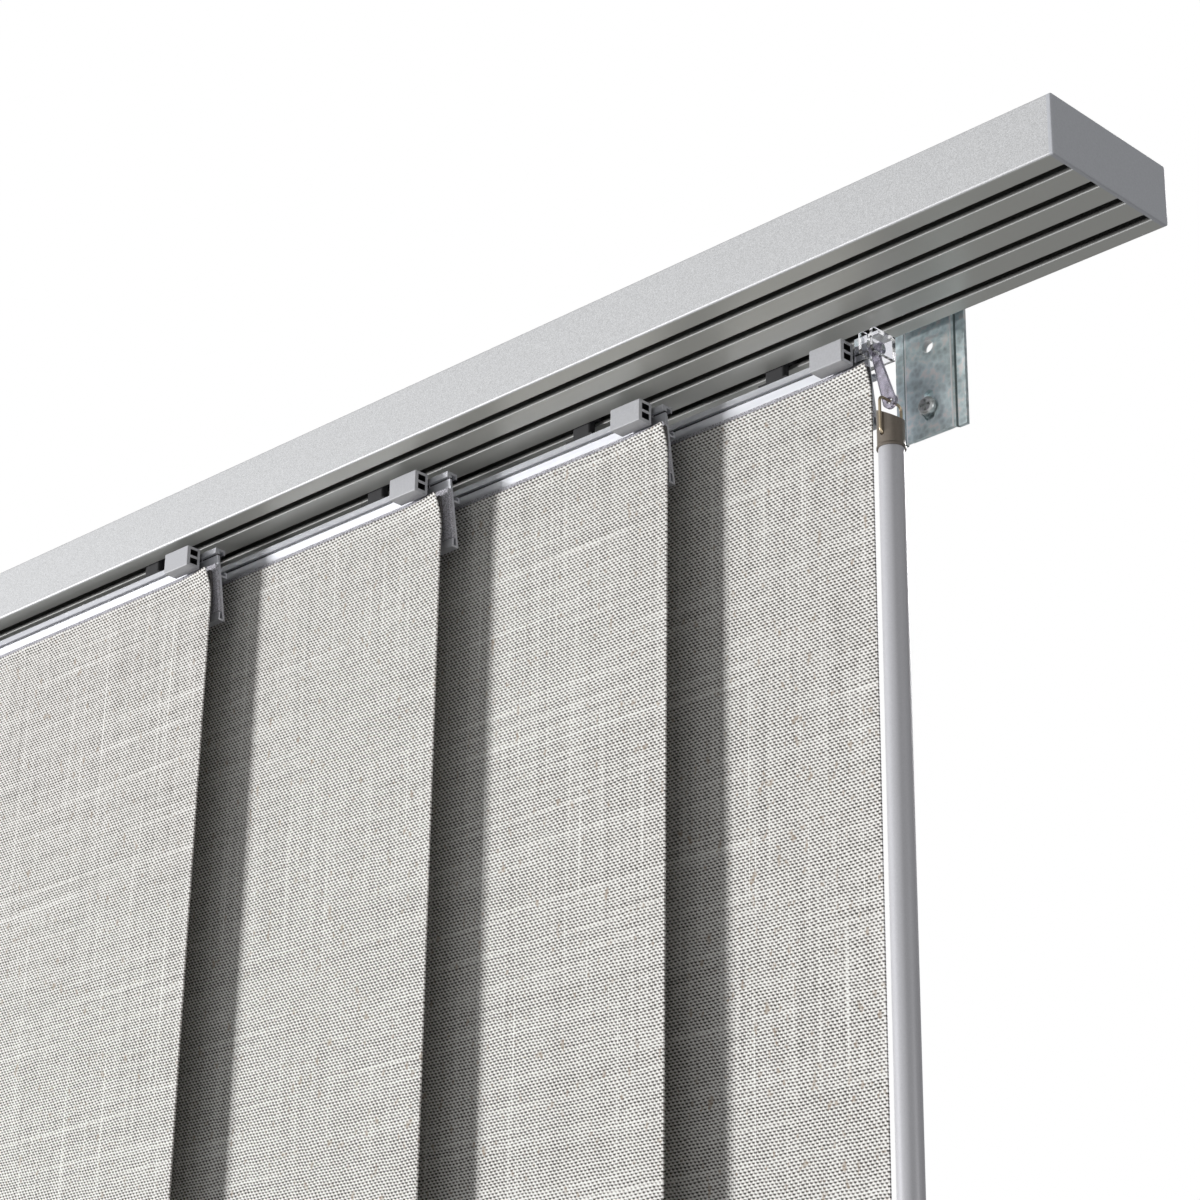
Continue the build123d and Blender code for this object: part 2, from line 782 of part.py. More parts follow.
with BuildPart() as wire_loop:
    with BuildLine(Plane.YZ.offset(wand_x)) as wire_path:
        loop_corners = [
            (wand_y + wire_half_width, eye_z),
            (wand_y + wire_half_width, wire_low_z),
            (wand_y - wire_half_width, wire_low_z),
            (wand_y - wire_half_width, eye_z),
        ]
        FilletPolyline(*loop_corners, radius=wire_corner, close=True)
    loop_wire = wire_path.wires()[0]
    with BuildSketch(Plane(origin=loop_wire @ 0, z_dir=loop_wire % 0)):
        Circle(wire_radius)
    sweep(path=loop_wire)
save(wire_loop, "wire_loop")

cap_bottom_z = rail_bottom_z - wand_cap_bottom_drop
cap_top_z = rail_bottom_z - wand_cap_top_drop
skirt_top_z = cap_bottom_z + wand_skirt
bore_radius = wand_radius - wand_wall
with BuildPart() as wand_cap:
    with BuildSketch(Plane.XZ.offset(-wand_y)):
        with BuildLine():
            Polyline(
                (wand_x, cap_top_z),
                (wand_x + wand_cap_radius, cap_top_z),
                (wand_x + wand_cap_radius, cap_bottom_z + wand_rim_height),
                (wand_x + wand_cap_radius + wand_cap_rim, cap_bottom_z + wand_rim_height / 2),
                (wand_x + wand_cap_radius + wand_cap_rim, cap_bottom_z),
                (wand_x + wand_radius + wand_fit, cap_bottom_z),
                (wand_x + wand_radius + wand_fit, skirt_top_z),
                (wand_x + bore_radius - wand_fit, skirt_top_z),
                (wand_x + bore_radius - wand_fit, cap_bottom_z - wand_spigot_length),
                (wand_x, cap_bottom_z - wand_spigot_length),
                close=True,
            )
        make_face()
    revolve(axis=Axis((wand_x, wand_y, 0), (0, 0, 1)))
    slope_plane = Plane(origin=(wand_x - wand_cap_radius, wand_y, cap_top_z), z_dir=(0, 0, 1))
    split(bisect_by=slope_plane.rotated((0, wand_cap_slope, 0)), keep=Keep.BOTTOM)
    with BuildSketch(Plane.XZ.offset(-(wand_y - wand_cap_radius))):
        with Locations((wand_x, wire_low_z)):
            Circle(wire_radius + wire_hole_clearance)
    extrude(amount=-2 * wand_cap_radius, mode=Mode.SUBTRACT)
save(wand_cap, "wand_cap")

rod_bottom_z = rail_bottom_z - wand_bottom_drop
with BuildPart() as wand_rod:
    with BuildSketch(Plane.XY.offset(rod_bottom_z)):
        with Locations((wand_x, wand_y)):
            Circle(wand_radius)
            Circle(bore_radius, mode=Mode.SUBTRACT)
    extrude(amount=skirt_top_z - rod_bottom_z)
save(wand_rod, "wand_rod")

with BuildPart() as wand_tip:
    with BuildSketch(Plane.XZ.offset(-wand_y)):
        with BuildLine():
            tip_radius = wand_radius + wand_tip_lip
            tip_bottom = rod_bottom_z - wand_tip_length
            Polyline(
                (wand_x, tip_bottom),
                (wand_x, rod_bottom_z + wand_spigot_length),
                (wand_x + bore_radius - wand_fit, rod_bottom_z + wand_spigot_length),
                (wand_x + bore_radius - wand_fit, rod_bottom_z),
                (wand_x + tip_radius, rod_bottom_z),
                (wand_x + tip_radius, tip_bottom + tip_radius),
            )
            RadiusArc((wand_x + tip_radius, tip_bottom + tip_radius), (wand_x, tip_bottom), tip_radius)
        make_face()
    revolve(axis=Axis((wand_x, wand_y, 0), (0, 0, 1)))
save(wand_tip, "wand_tip")
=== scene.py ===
import json
import math
import bpy
from mathutils import Matrix, Vector


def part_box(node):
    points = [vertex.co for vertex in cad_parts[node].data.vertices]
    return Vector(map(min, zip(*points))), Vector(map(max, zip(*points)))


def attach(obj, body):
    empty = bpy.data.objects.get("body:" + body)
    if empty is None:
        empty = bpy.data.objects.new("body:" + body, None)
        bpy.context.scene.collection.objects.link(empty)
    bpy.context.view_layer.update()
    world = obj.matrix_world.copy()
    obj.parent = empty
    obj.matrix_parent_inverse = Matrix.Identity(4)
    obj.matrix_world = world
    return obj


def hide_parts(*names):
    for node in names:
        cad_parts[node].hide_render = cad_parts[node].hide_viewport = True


# The looks of a panel track blind: finishes, the linen cloth, lights and the photo's camera.
# Metres, in the frame of the part: X along the rail, Y into the wall, Z up.
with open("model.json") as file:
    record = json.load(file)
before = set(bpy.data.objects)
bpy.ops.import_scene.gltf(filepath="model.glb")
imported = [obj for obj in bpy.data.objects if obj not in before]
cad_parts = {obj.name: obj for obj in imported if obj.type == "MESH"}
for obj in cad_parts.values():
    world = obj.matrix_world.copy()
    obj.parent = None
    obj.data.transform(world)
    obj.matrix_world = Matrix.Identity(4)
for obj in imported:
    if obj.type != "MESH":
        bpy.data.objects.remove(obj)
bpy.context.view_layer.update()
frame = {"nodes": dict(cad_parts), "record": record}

MM = 0.001
PANEL_COUNT = 4
rail_low, rail_high = (Vector(corner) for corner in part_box("headrail"))
rail_corner = Vector((rail_high.x, rail_low.y, rail_low.z))

# Camera, fitted to the rail's edges and slots: its place from the rail's right front lower corner,
# how far it is turned to the left of straight into the wall, how far it looks up, and its roll
CAMERA_PLACE = Vector((0.53135, -0.75186, -0.55560))
CAMERA_TURN = math.radians(44.440)
CAMERA_RISE = math.radians(23.347)
CAMERA_ROLL = math.radians(0.784)
# A camera looks straight down until it is tipped up by this angle
LEVEL = math.radians(90)
IMAGE_SIZE = 1200
FOCAL_PIXELS = 3176.2
SENSOR_MM = 36.0
CLIP_START = 0.01
CLIP_END = 50.0


def make_camera():
    """Camera at the photo's place, looking up along the rail from the right."""
    data = bpy.data.cameras.new("photo_camera")
    data.sensor_width = SENSOR_MM
    data.lens = FOCAL_PIXELS / IMAGE_SIZE * SENSOR_MM
    data.clip_start = CLIP_START
    data.clip_end = CLIP_END
    camera = bpy.data.objects.new("photo_camera", data)
    bpy.context.scene.collection.objects.link(camera)
    turn = Matrix.Rotation(CAMERA_TURN, 4, "Z")
    rise = Matrix.Rotation(LEVEL + CAMERA_RISE, 4, "X")
    roll = Matrix.Rotation(CAMERA_ROLL, 4, "Z")
    camera.matrix_world = Matrix.Translation(rail_corner + CAMERA_PLACE) @ turn @ rise @ roll
    bpy.context.scene.camera = camera


def area_light(name, place, aim, size, power):
    """Square soft light, placed and aimed from the rail's right front lower corner."""
    data = bpy.data.lights.new(name, "AREA")
    data.shape = "SQUARE"
    data.size = size
    data.energy = power
    light = bpy.data.objects.new(name, data)
    bpy.context.scene.collection.objects.link(light)
    light.location = rail_corner + Vector(place)
    light.rotation_euler = (Vector(aim) - Vector(place)).to_track_quat("-Z", "Y").to_euler()


class Nodes:
    """A node tree, with short calls that add nodes to it."""

    def __init__(self, tree):
        self.tree = tree

    def node(self, kind, **values):
        made = self.tree.nodes.new(kind)
        for key, value in values.items():
            setattr(made, key, value)
        return made

    def link(self, output, target):
        self.tree.links.new(output, target)

    def math(self, operation, first, second=None, third=None):
        """One maths node, whose inputs are numbers or other nodes' outputs."""
        made = self.node("ShaderNodeMath", operation=operation)
        for slot, value in zip(made.inputs, (first, second, third)):
            if value is None:
                continue
            if isinstance(value, (int, float)):
                slot.default_value = value
            else:
                self.link(value, slot)
        return made.outputs[0]

    def spread(self, value, start, end, lowest=0.0, highest=1.0):
        """From start to end as a value goes from lowest to highest."""
        made = self.node("ShaderNodeMapRange")
        made.inputs["From Min"].default_value = lowest
        made.inputs["From Max"].default_value = highest
        made.inputs["To Min"].default_value = start
        made.inputs["To Max"].default_value = end
        self.link(value, made.inputs["Value"])
        return made.outputs[0]


# World: its brightest direction, the cosine at which it is fully bright or dim, its dimmest level,
# and its strength as a light and in reflections
BRIGHT_SIDE = Vector((-0.38, -0.92, 0.10))
SIDE_REACH = 0.75
DIM_LEVEL = 0.16
LIGHT_STRENGTH = 0.33
REFLECTED_STRENGTH = 1.0


def make_world():
    """Plain white behind the object, and a studio that is white in front and dim on the wall's side."""
    world = bpy.data.worlds.new("studio")
    world.use_nodes = True
    bpy.context.scene.world = world
    nodes = Nodes(world.node_tree)
    nodes.tree.nodes.clear()
    side = nodes.node("ShaderNodeVectorMath", operation="DOT_PRODUCT")
    nodes.link(nodes.node("ShaderNodeTexCoord").outputs["Generated"], side.inputs[0])
    side.inputs[1].default_value = BRIGHT_SIDE.normalized()
    level = nodes.spread(side.outputs["Value"], DIM_LEVEL, 1.0, lowest=-SIDE_REACH, highest=SIDE_REACH)
    path = nodes.node("ShaderNodeLightPath")
    strength = nodes.spread(path.outputs["Is Glossy Ray"], LIGHT_STRENGTH, REFLECTED_STRENGTH)
    around = nodes.node("ShaderNodeBackground")
    nodes.link(level, around.inputs["Color"])
    nodes.link(strength, around.inputs["Strength"])
    seen = nodes.node("ShaderNodeBackground")
    seen.inputs["Color"].default_value = (1, 1, 1, 1)
    seen.inputs["Strength"].default_value = 1.0
    direct = nodes.math("MAXIMUM", path.outputs["Is Camera Ray"], path.outputs["Is Transmission Ray"])
    blend = nodes.node("ShaderNodeMixShader")
    for source, target in zip((direct, around.outputs[0], seen.outputs[0]), blend.inputs):
        nodes.link(source, target)
    nodes.link(blend.outputs[0], nodes.node("ShaderNodeOutputWorld").inputs["Surface"])


def tint(color, factor):
    """A colour made lighter or darker, with no channel over 1."""
    return tuple(min(1.0, channel * factor) for channel in color)


class Finish(Nodes):
    """A material with one Principled shader, and calls for its patterns and inputs."""

    def __init__(self, name, color, roughness, metallic=0.0, **more):
        self.material = bpy.data.materials.new(name)
        self.material.use_nodes = True
        super().__init__(self.material.node_tree)
        self.shader = self.tree.nodes["Principled BSDF"]
        self.shader.inputs["Base Color"].default_value = (*color, 1)
        self.shader.inputs["Roughness"].default_value = roughness
        self.shader.inputs["Metallic"].default_value = metallic
        for key, value in more.items():
            self.shader.inputs[key.replace("_", " ")].default_value = value
        self.place = self.node("ShaderNodeTexCoord").outputs["Object"]

    def axes(self):
        """The X, Y and Z outputs of the object's coordinates."""
        split = self.node("ShaderNodeSeparateXYZ")
        self.link(self.place, split.inputs[0])
        return split.outputs

    def inside(self, low, high):
        """1 at points strictly between two corners, 0 elsewhere."""
        factors = []
        for axis, lowest, highest in zip(self.axes(), low, high):
            factors.append(self.math("GREATER_THAN", axis, lowest))
            factors.append(self.math("LESS_THAN", axis, highest))
        product = factors[0]
        for factor in factors[1:]:
            product = self.math("MULTIPLY", product, factor)
        return product

    def noise(self, scale, detail=2.0, stretch=(1, 1, 1), roughness=0.5):
        """Noise in object space, finer along an axis with a larger stretch."""
        mapping = self.node("ShaderNodeMapping")
        mapping.inputs["Scale"].default_value = stretch
        self.link(self.place, mapping.inputs["Vector"])
        made = self.node("ShaderNodeTexNoise")
        made.inputs["Scale"].default_value = scale
        made.inputs["Detail"].default_value = detail
        made.inputs["Roughness"].default_value = roughness
        self.link(mapping.outputs[0], made.inputs["Vector"])
        return made.outputs["Fac"]

    def centred(self, noise):
        """Noise moved down, so that it is about as often below zero as above."""
        return self.math("SUBTRACT", noise, 0.5)

    def cells(self, scale):
        """Distance from the nearest of many scattered points in object space."""
        made = self.node("ShaderNodeTexVoronoi")
        made.inputs["Scale"].default_value = scale
        self.link(self.place, made.inputs["Vector"])
        return made.outputs["Distance"]

    def ramp(self, value, stops):
        """Colour ramp over (position, colour) stops."""
        made = self.node("ShaderNodeValToRGB")
        elements = made.color_ramp.elements
        while len(elements) < len(stops):
            elements.new(0.5)
        for element, (position, color) in zip(elements, stops):
            element.position = position
            element.color = (*color, 1)
        self.link(value, made.inputs[0])
        return made.outputs["Color"]

    def shades(self, value, color, low, high, start=0.30, end=0.70):
        """A colour times low where the value is at start, and times high where it is at end."""
        return self.ramp(value, [(start, tint(color, low)), (end, tint(color, high))])

    def mix(self, factor, first, second):
        """A colour output blended with a plain colour."""
        blend = self.node("ShaderNodeMix", data_type="RGBA")
        from_socket, to_socket = [socket for socket in blend.inputs if socket.type == "RGBA"]
        self.link(factor, blend.inputs["Factor"])
        self.link(first, from_socket)
        to_socket.default_value = (*second, 1)
        return [socket for socket in blend.outputs if socket.type == "RGBA"][0]

    def color(self, output):
        self.link(output, self.shader.inputs["Base Color"])

    def rough(self, value, start, end):
        """Roughness from start to end as a value goes from 0 to 1."""
        self.link(self.spread(value, start, end), self.shader.inputs["Roughness"])

    def bump(self, height, strength, depth):
        made = self.node("ShaderNodeBump")
        made.inputs["Strength"].default_value = strength
        made.inputs["Distance"].default_value = depth
        self.link(height, made.inputs["Height"])
        self.link(made.outputs[0], self.shader.inputs["Normal"])


GRAIN_DEPTH = 0.02 * MM
ROUGHNESS_SWING = 0.15


def flecked(name, color, roughness, scale, contrast, metallic=0.0, bump=0.0, stretch=(1, 1, 1)):
    """Finish with fine flecks: lighter and darker grains of one colour."""
    finish = Finish(name, color, roughness, metallic)
    grain = finish.noise(scale, detail=3.0, stretch=stretch)
    finish.color(finish.shades(grain, color, 1 - contrast, 1 + contrast))
    finish.rough(grain, roughness * (1 - ROUGHNESS_SWING), roughness * (1 + ROUGHNESS_SWING))
    if bump:
        finish.bump(grain, bump, GRAIN_DEPTH)
    return finish.material


# Headrail: the layer that counts as its underside, and how far the painted shade inside its slots
# stays from its front and back, its underside and its top
RAIL_COLOR = (0.53, 0.535, 0.545)
# Underside colour: the rail's own warmer tone, made lighter as painted light for the dimly lit underside
RAIL_UNDERSIDE_TONE_AND_LIGHT = (0.565, 0.57, 0.54)
RAIL_SLOT_SHADE = (0.22, 0.22, 0.21)
UNDERSIDE_LAYER = 0.05 * MM
SLOT_SIDE = 1.5 * MM
SLOT_LIP = 0.2 * MM
SLOT_ROOF = 5 * MM
# Farther out than any point of the part
FAR = 10.0


def rail_silver():
    """Silver lacquer with a fine sparkle; below it is smoother, warmer and lighter as painted light, and
    inside the slots it is darkened as painted shade.
    """
    finish = Finish("rail_silver", RAIL_COLOR, roughness=0.50, metallic=0.28)
    grain = finish.noise(scale=3600.0)
    sparkle = finish.shades(grain, RAIL_COLOR, 0.74, 1.28)
    # Underside: a warmer tone of the rail's own, lightened as painted light
    under = finish.inside((-FAR, -FAR, -FAR), (FAR, FAR, rail_low.z + UNDERSIDE_LAYER))
    underside_tone_and_light = finish.mix(under, sparkle, RAIL_UNDERSIDE_TONE_AND_LIGHT)
    # Painted shade: the slots' inner faces are darkened where little light gets in
    slot_low = (-FAR, rail_low.y + SLOT_SIDE, rail_low.z + SLOT_LIP)
    slot_high = (FAR, rail_high.y - SLOT_SIDE, rail_high.z - SLOT_ROOF)
    finish.color(finish.mix(finish.inside(slot_low, slot_high), underside_tone_and_light, RAIL_SLOT_SHADE))
    finish.rough(under, 0.50, 0.34)
    finish.bump(grain, 0.25, GRAIN_DEPTH)
    return finish.material


# Catch blocks: how deep the painted shade reaches into the pockets of the end, and how far it stays
# from the end and from the sides
BLOCK_COLOR = (0.50, 0.505, 0.53)
POCKET_SHADE = (0.012, 0.012, 0.013)
POCKET_REACH = 6 * MM
POCKET_RIM = 0.1 * MM
POCKET_WALL = 0.4 * MM


def catch_block(number):
    """Satin moulded plastic, with painted shade inside the two pockets of the block's end."""
    low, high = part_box(f"catch_block_{number}")
    finish = Finish(f"block_grey_{number}", BLOCK_COLOR, roughness=0.42)
    grain = finish.noise(scale=1400.0, detail=3.0)
    plain = finish.shades(grain, BLOCK_COLOR, 0.95, 1.05)
    # Painted shade: the insides of the pockets are darkened where little light gets in
    pocket_low = (high[0] - POCKET_REACH, low[1] + POCKET_WALL, low[2] + POCKET_WALL)
    pocket_high = (high[0] - POCKET_RIM, high[1] - POCKET_WALL, high[2] - POCKET_WALL)
    finish.color(finish.mix(finish.inside(pocket_low, pocket_high), plain, POCKET_SHADE))
    finish.rough(grain, 0.36, 0.48)
    finish.bump(grain, 0.1, GRAIN_DEPTH)
    return finish.material


# Zinc: weights of its spangles and clouds, and (position, lightness) stops of their sum
SPANGLE_WEIGHT = 0.35
CLOUD_WEIGHT = 0.8
ZINC_STOPS = ((0.36, 0.66), (0.60, 0.95), (0.74, 1.4))
ZINC_DEPTH = 0.05 * MM

# The brackets' raised band: where its edges and feet lie beside the bracket's middle, and the painted
# highlight on its edges and painted shade at its feet
BAND_HIGHLIGHT_SPAN = (10.2 * MM, 10.9 * MM)
BAND_SHADE_SPAN = (11.5 * MM, 12.2 * MM)
BAND_HIGHLIGHT_COLOR = (0.97, 0.99, 1.0)
BAND_SHADE_COLOR = (0.16, 0.20, 0.21)


def band_highlight_and_shade(finish, plated):
    """Plating with a painted highlight along the edges of each bracket's band, and painted shade at its feet.
    """
    bracket_low, bracket_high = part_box("wall_bracket_right")
    spacing = (bracket_low[0] + bracket_high[0]) / 2
    across = finish.math("WRAP", finish.axes()["X"], spacing / 2, -spacing / 2)
    beside = finish.math("ABSOLUTE", across)
    # Painted light: a bright stripe along each edge of the band and a dark stripe at each foot
    for (near, far), shade in ((BAND_HIGHLIGHT_SPAN, BAND_HIGHLIGHT_COLOR), (BAND_SHADE_SPAN, BAND_SHADE_COLOR)):
        past = finish.math("GREATER_THAN", beside, near)
        before = finish.math("LESS_THAN", beside, far)
        plated = finish.mix(finish.math("MULTIPLY", past, before), plated, shade)
    return plated


def zinc(name, color, painted_band_light=False):
    """Zinc plating with soft spangles, and where asked, the painted highlight and shade of the brackets'
    band.
    """
    finish = Finish(name, color, roughness=0.33, metallic=0.85)
    cloud = finish.noise(scale=140.0, detail=5.0, roughness=0.65)
    spangles = finish.math("MULTIPLY", finish.cells(420.0), SPANGLE_WEIGHT)
    spot = finish.math("MULTIPLY_ADD", cloud, CLOUD_WEIGHT, spangles)
    plated = finish.ramp(spot, [(position, tint(color, shade)) for position, shade in ZINC_STOPS])
    if painted_band_light:
        plated = band_highlight_and_shade(finish, plated)
    finish.color(plated)
    finish.rough(cloud, 0.26, 0.46)
    finish.bump(cloud, 0.25, ZINC_DEPTH)
    return finish.material


# Linen: how far apart its upright threads are, how far apart its level ones, and its colours
WARP_PITCH = 0.96 * MM
WEFT_PITCH = 1.20 * MM
CLOTH_LIGHT = (0.81, 0.78, 0.75)
# The dark colour is painted shade for the pinholes
CLOTH_PINHOLE_SHADE = (0.05, 0.045, 0.04)
CLOTH_FLECK = (0.36, 0.27, 0.19)
# Depth of the bump for a height from 0 to 1
THREAD_DEPTH = 0.2 * MM
# How far the threads wander, in radians of the weave's pattern
THREAD_DRIFT = 3.2
# The weave's mean height, and the weights of its slanting lines, rows and columns
WEAVE_LEVEL = 0.52
FALLING_WEIGHT = 0.25
RISING_WEIGHT = 0.11
ROW_WEIGHT = -0.28
COLUMN_WEIGHT = 0.07
# Noise drawn out along the upright and the level threads, and the part of it that stands up as slubs
THREAD_STRETCHES = ((1050, 40, 10), (9, 40, 850))
THREAD_WEIGHT = 0.30
SLUB_START = 0.63
SLUB_WEIGHT = 1.5
FUZZ_WEIGHT = 0.50
# Where brown flecks begin and are full, and how much of the colour they take
FLECK_START = 0.64
FLECK_FULL = 0.74
FLECK_COVER = 0.55


def weave_height(finish):
    """Height of the weave: staggered threads with pinholes between them, slubs and fuzz."""
    axes = finish.axes()
    drift = finish.math("MULTIPLY", finish.centred(finish.noise(scale=90.0)), THREAD_DRIFT)
    across = finish.math("MULTIPLY_ADD", axes["X"], math.pi / WARP_PITCH, drift)
    down = finish.math("MULTIPLY_ADD", axes["Z"], math.pi / WEFT_PITCH, drift)
    rising = finish.math("COSINE", finish.math("SUBTRACT", across, down))
    falling = finish.math("COSINE", finish.math("ADD", across, down))
    rows = finish.math("SINE", finish.math("MULTIPLY", down, 2.0))
    columns = finish.math("COSINE", finish.math("MULTIPLY", across, 2.0))
    height = finish.math("MULTIPLY_ADD", falling, FALLING_WEIGHT, WEAVE_LEVEL)
    height = finish.math("MULTIPLY_ADD", rising, RISING_WEIGHT, height)
    height = finish.math("MULTIPLY_ADD", rows, ROW_WEIGHT, height)
    height = finish.math("MULTIPLY_ADD", columns, COLUMN_WEIGHT, height)
    for stretch in THREAD_STRETCHES:
        thread = finish.noise(scale=1.0, stretch=stretch)
        height = finish.math("MULTIPLY_ADD", finish.centred(thread), THREAD_WEIGHT, height)
        slub = finish.math("MAXIMUM", finish.math("SUBTRACT", thread, SLUB_START), 0.0)
        height = finish.math("MULTIPLY_ADD", slub, SLUB_WEIGHT, height)
    fuzz = finish.noise(scale=420.0, detail=4.0, roughness=0.75)
    return finish.math("MULTIPLY_ADD", finish.centred(fuzz), FUZZ_WEIGHT, height)


def linen():
    """Plain weave of pale threads, flecked with brown, with painted shade in its pinholes and low parts and a
    painted highlight on the threads' tops.
    """
    finish = Finish("linen", CLOTH_LIGHT, roughness=0.92, Sheen_Weight=0.1, Specular_IOR_Level=0.12)
    height = weave_height(finish)
    # Painted light: the colour follows the weave's height, dark as painted shade in the pinholes and low
    # parts, lighter as a painted highlight on the threads' tops
    pinhole = (0.12, CLOTH_PINHOLE_SHADE)
    hollow_shade = (0.36, tint(CLOTH_LIGHT, 0.48))
    thread = (0.58, CLOTH_LIGHT)
    crown_highlight = (0.92, tint(CLOTH_LIGHT, 1.3))
    threads = finish.ramp(height, [pinhole, hollow_shade, thread, crown_highlight])
    patches = finish.noise(scale=330.0, stretch=(1, 1, 0.6))
    fleck = finish.spread(patches, 0.0, FLECK_COVER, lowest=FLECK_START, highest=FLECK_FULL)
    finish.color(finish.mix(fleck, threads, CLOTH_FLECK))
    finish.bump(height, 0.5, THREAD_DEPTH)
    return finish.material


# Carriers: how far below the rail the groove along the head's lower edge ends and starts
GROOVE_FOOT = 8.75 * MM
GROOVE_TOP = 8.2 * MM
# Painted shade: the colour of the line painted where the groove's shade falls
GROOVE_SHADE = (0.03, 0.03, 0.035)
ALONG_RAIL = (0.02, 1, 1)


def carrier_metal():
    """Satin aluminium with a dark line of painted shade along the groove at the head's lower edge."""
    color = (0.62, 0.63, 0.67)
    finish = Finish("carrier_aluminium", color, roughness=0.36, metallic=0.4)
    streaks = finish.noise(scale=900.0, detail=3.0, stretch=ALONG_RAIL)
    plain = finish.shades(streaks, color, 0.95, 1.04)
    # Painted shade: a dark line at the groove's height
    groove = finish.inside((-FAR, -FAR, rail_low.z - GROOVE_FOOT), (FAR, FAR, rail_low.z - GROOVE_TOP))
    finish.color(finish.mix(groove, plain, GROOVE_SHADE))
    finish.rough(streaks, 0.30, 0.42)
    return finish.material


PLASTIC_IOR = 1.49
FLOW_DEPTH = 0.2 * MM


def clear_plastic():
    """Clear moulded plastic with faint flow marks."""
    color = (0.93, 0.93, 0.96)
    finish = Finish("clear_plastic", color, roughness=0.08, Transmission_Weight=1.0, IOR=PLASTIC_IOR)
    flow = finish.noise(scale=300.0)
    finish.rough(flow, 0.03, 0.16)
    finish.bump(flow, 0.3, FLOW_DEPTH)
    return finish.material


def smoky_plastic():
    """The wand's arm: clear plastic with a lilac grey cast."""
    color = (0.50, 0.47, 0.56)
    finish = Finish("smoky_plastic", color, roughness=0.12, Transmission_Weight=0.72, IOR=PLASTIC_IOR)
    flow = finish.noise(scale=400.0, detail=3.0)
    finish.color(finish.shades(flow, color, 0.6, 1.3, start=0.35, end=0.65))
    finish.rough(flow, 0.06, 0.2)
    finish.bump(flow, 0.4, FLOW_DEPTH)
    return finish.material


TUFT_DEPTH = 0.3 * MM


def tape(name, color, pitch):
    """Hook or loop tape: scattered fine tufts, pale at their tips."""
    finish = Finish(name, color, roughness=0.95)
    tufts = finish.cells(1 / pitch)
    finish.color(finish.shades(tufts, color, 1.25, 0.45, start=0.1, end=0.7))
    finish.bump(tufts, 0.8, TUFT_DEPTH)
    return finish.material


# Slots whose finish is plain flecks of one colour
FLECKED = {
    "cap_grey": dict(color=(0.53, 0.545, 0.58), roughness=0.45, scale=1500.0, contrast=0.05, bump=0.1),
    "glider_plastic": dict(color=(0.025, 0.025, 0.027), roughness=0.8, scale=1200.0, contrast=0.08),
    "bar_aluminium": dict(
        color=(0.56, 0.57, 0.58), roughness=0.45, scale=900.0, contrast=0.05, metallic=0.3, stretch=ALONG_RAIL
    ),
    "bar_cap_grey": dict(color=(0.40, 0.41, 0.44), roughness=0.45, scale=1400.0, contrast=0.05, bump=0.1),
    "wire_brass": dict(color=(0.46, 0.38, 0.27), roughness=0.34, scale=1500.0, contrast=0.10, metallic=1.0),
    "wand_cap_grey": dict(
        color=(0.20, 0.17, 0.14), roughness=0.34, scale=1200.0, contrast=0.06, metallic=0.35, bump=0.1
    ),
    "rod_silver": dict(
        color=(0.56, 0.56, 0.59), roughness=0.36, scale=1800.0, contrast=0.04, metallic=0.1, bump=0.06
    ),
}

materials = {name: flecked(name, **look) for name, look in FLECKED.items()}
materials["rail_silver"] = rail_silver()
materials["zinc_steel"] = zinc("zinc_steel", (0.84, 0.97, 1.0), painted_band_light=True)
materials["screw_steel"] = zinc("screw_steel", (0.62, 0.64, 0.64))
materials["carrier_aluminium"] = carrier_metal()
materials["hook_tape"] = tape("hook_tape", (0.66, 0.65, 0.71), pitch=0.5 * MM)
materials["loop_tape"] = tape("loop_tape", (0.16, 0.15, 0.15), pitch=0.7 * MM)
materials["linen_cloth"] = linen()
materials["clear_plastic"] = clear_plastic()

# Nodes with a finish of their own, in place of their slot's
own_material = {f"catch_block_{number}": catch_block(number) for number in range(1, PANEL_COUNT + 1)}
own_material["wand_arm"] = smoky_plastic()

slot_of_node = {entry["node"]: entry["material_slot"] for entry in frame["record"]["subparts"]}
for node_name, node_object in frame["nodes"].items():
    material = own_material.get(node_name) or materials[slot_of_node[node_name]]
    for material_slot in node_object.material_slots:
        material_slot.material = material


# Cloth: each sheet lies on its leaning tape, hangs straight below it, and curls forward at its top
# right corner. Its rows crowd towards the top and its columns towards the right edge.
COLUMNS = 60
ROWS = 160
COLUMN_CROWDING = 1.5
ROW_CROWDING = 1.8
CLOTH_THICKNESS = 0.7 * MM
SHARP_ANGLE = math.radians(40)
LEANING_DROP = 6 * MM

# The curl of each sheet's corner
CURL_WIDTH = 26 * MM
CURL_DROP = 13 * MM
CURL_LIFTS = (2.9 * MM, 3.0 * MM, 2.4 * MM, 2.6 * MM)
CURL_POWER_ACROSS = 2
CURL_POWER_DOWN = 1.3

# Shallow waves, which start below the tape and grow to their full depth over a further drop
WAVE_DEPTH = 0.45 * MM
WAVE_START = 20 * MM
WAVE_GROWTH = 150 * MM
WAVE_RADIANS_ACROSS = 21
WAVE_RADIANS_DOWN = 3.1
WAVE_SHIFT = 1.7


def cloth_offset(from_right, from_top, number):
    """How far the cloth stands out of its flat plane, towards the room."""
    beside = max(0.0, 1 - from_right / CURL_WIDTH)
    above = max(0.0, 1 - from_top / CURL_DROP)
    curl = CURL_LIFTS[number - 1] * beside ** CURL_POWER_ACROSS * above ** CURL_POWER_DOWN
    growth = min(1.0, max(0.0, (from_top - WAVE_START) / WAVE_GROWTH))
    wave_across = math.sin(from_right * WAVE_RADIANS_ACROSS + number * WAVE_SHIFT)
    wave = wave_across * math.sin(from_top * WAVE_RADIANS_DOWN + number)
    return curl + WAVE_DEPTH * growth * wave


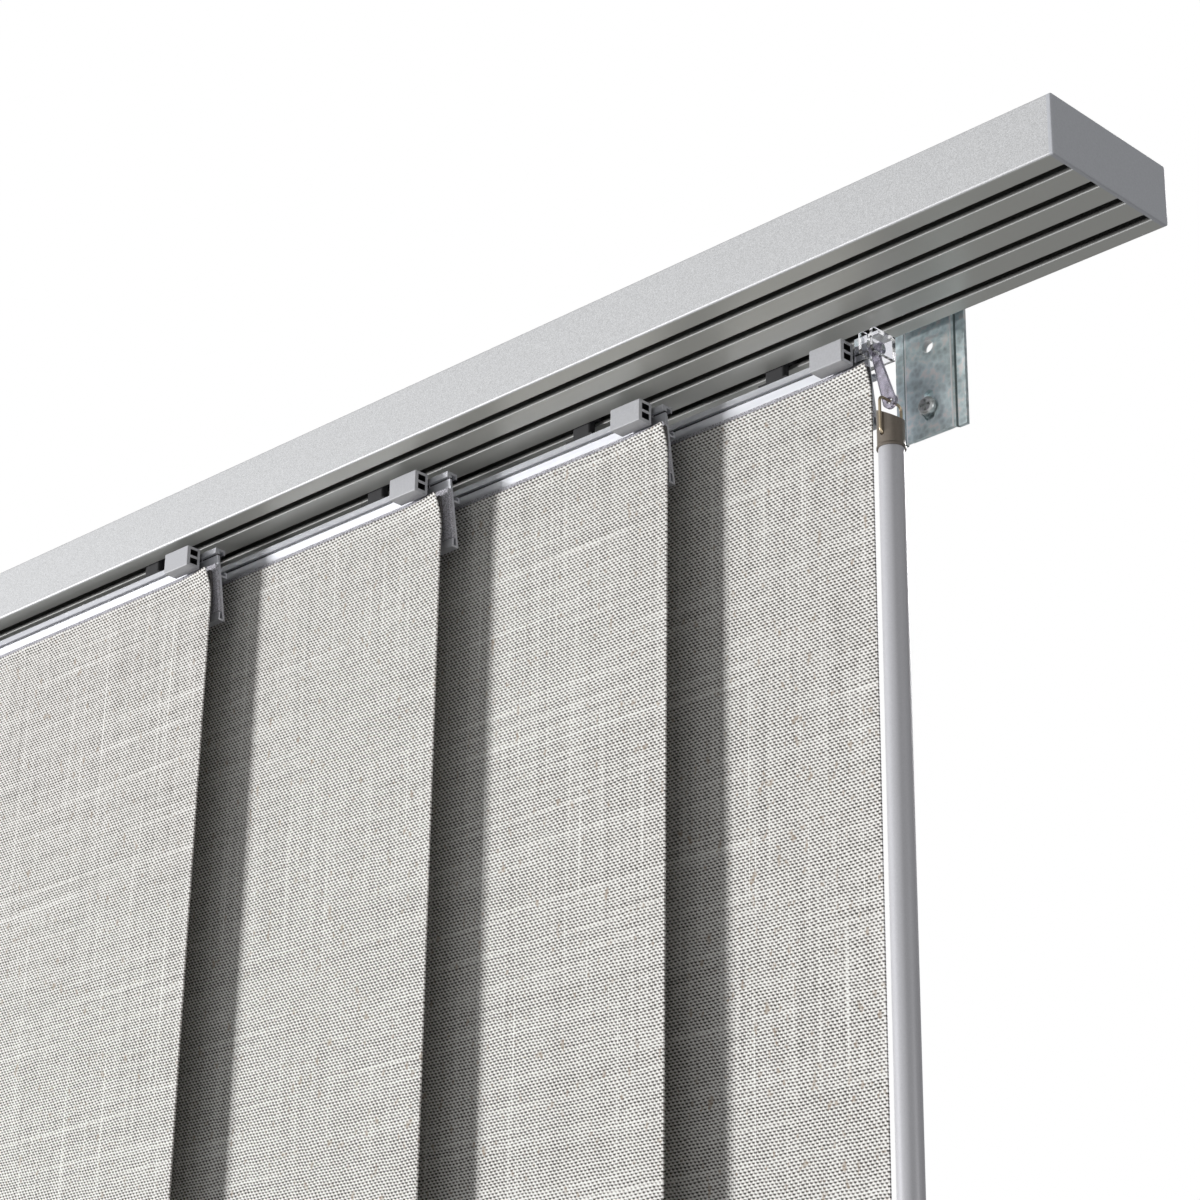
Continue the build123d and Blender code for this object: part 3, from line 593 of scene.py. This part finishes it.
def cloth_points(number, low, high):
    """Points of the sheet's front and then its back, in rows from the top, each from the left."""
    width = high.x - low.x
    drop = high.z - low.z
    lean = high.y - low.y - CLOTH_THICKNESS
    points = []
    for side_y in (high.y - CLOTH_THICKNESS, high.y):
        for row in range(ROWS + 1):
            from_top = drop * (row / ROWS) ** ROW_CROWDING
            leaning = lean * max(0.0, 1 - from_top / LEANING_DROP)
            for column in range(COLUMNS + 1):
                from_right = width * (1 - column / COLUMNS) ** COLUMN_CROWDING
                y = side_y - cloth_offset(from_right, from_top, number) - leaning
                points.append((high.x - from_right, y, high.z - from_top))
    return points


def cloth_faces():
    """Faces of the sheet's front, its back and its four cut edges."""
    stride = COLUMNS + 1
    back = stride * (ROWS + 1)
    faces = []
    for row in range(ROWS):
        for column in range(COLUMNS):
            corner = row * stride + column
            below = corner + stride
            faces.append((corner, below, below + 1, corner + 1))
            faces.append((back + corner, back + corner + 1, back + below + 1, back + below))
    for column in range(COLUMNS):
        top = column
        bottom = ROWS * stride + column
        faces.append((top, top + 1, back + top + 1, back + top))
        faces.append((bottom, back + bottom, back + bottom + 1, bottom + 1))
    for row in range(ROWS):
        left = row * stride
        right = row * stride + COLUMNS
        faces.append((left, back + left, back + left + stride, left + stride))
        faces.append((right, right + stride, back + right + stride, back + right))
    return faces


def make_cloth(number):
    """One panel's sheet of cloth, in place of its solid."""
    low, high = (Vector(corner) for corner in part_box(f"cloth_panel_{number}"))
    mesh = bpy.data.meshes.new(f"cloth_{number}")
    mesh.from_pydata(cloth_points(number, low, high), [], cloth_faces())
    mesh.update()
    mesh.polygons.foreach_set("use_smooth", [True] * len(mesh.polygons))
    mesh.set_sharp_from_angle(angle=SHARP_ANGLE)
    mesh.materials.append(materials["linen_cloth"])
    cloth = bpy.data.objects.new(f"cloth_{number}", mesh)
    bpy.context.scene.collection.objects.link(cloth)
    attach(cloth, f"panel_{number}")
    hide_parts(f"cloth_panel_{number}")


for panel_number in range(1, PANEL_COUNT + 1):
    make_cloth(panel_number)

# Light: a large key from the front left, a soft one from the right, and one from high up behind
make_camera()
make_world()
area_light("key", place=(-6.95, -6.25, -1.00), aim=(-0.25, 0.03, -0.20), size=1.5, power=835.0)
area_light("side", place=(2.40, 0.30, -0.40), aim=(-0.02, 0.03, 0.00), size=0.9, power=16.0)
area_light("back", place=(-0.83, 3.20, 1.90), aim=(-0.40, 0.05, -0.70), size=1.2, power=75.0)
bpy.context.scene.view_settings.view_transform = "Standard"
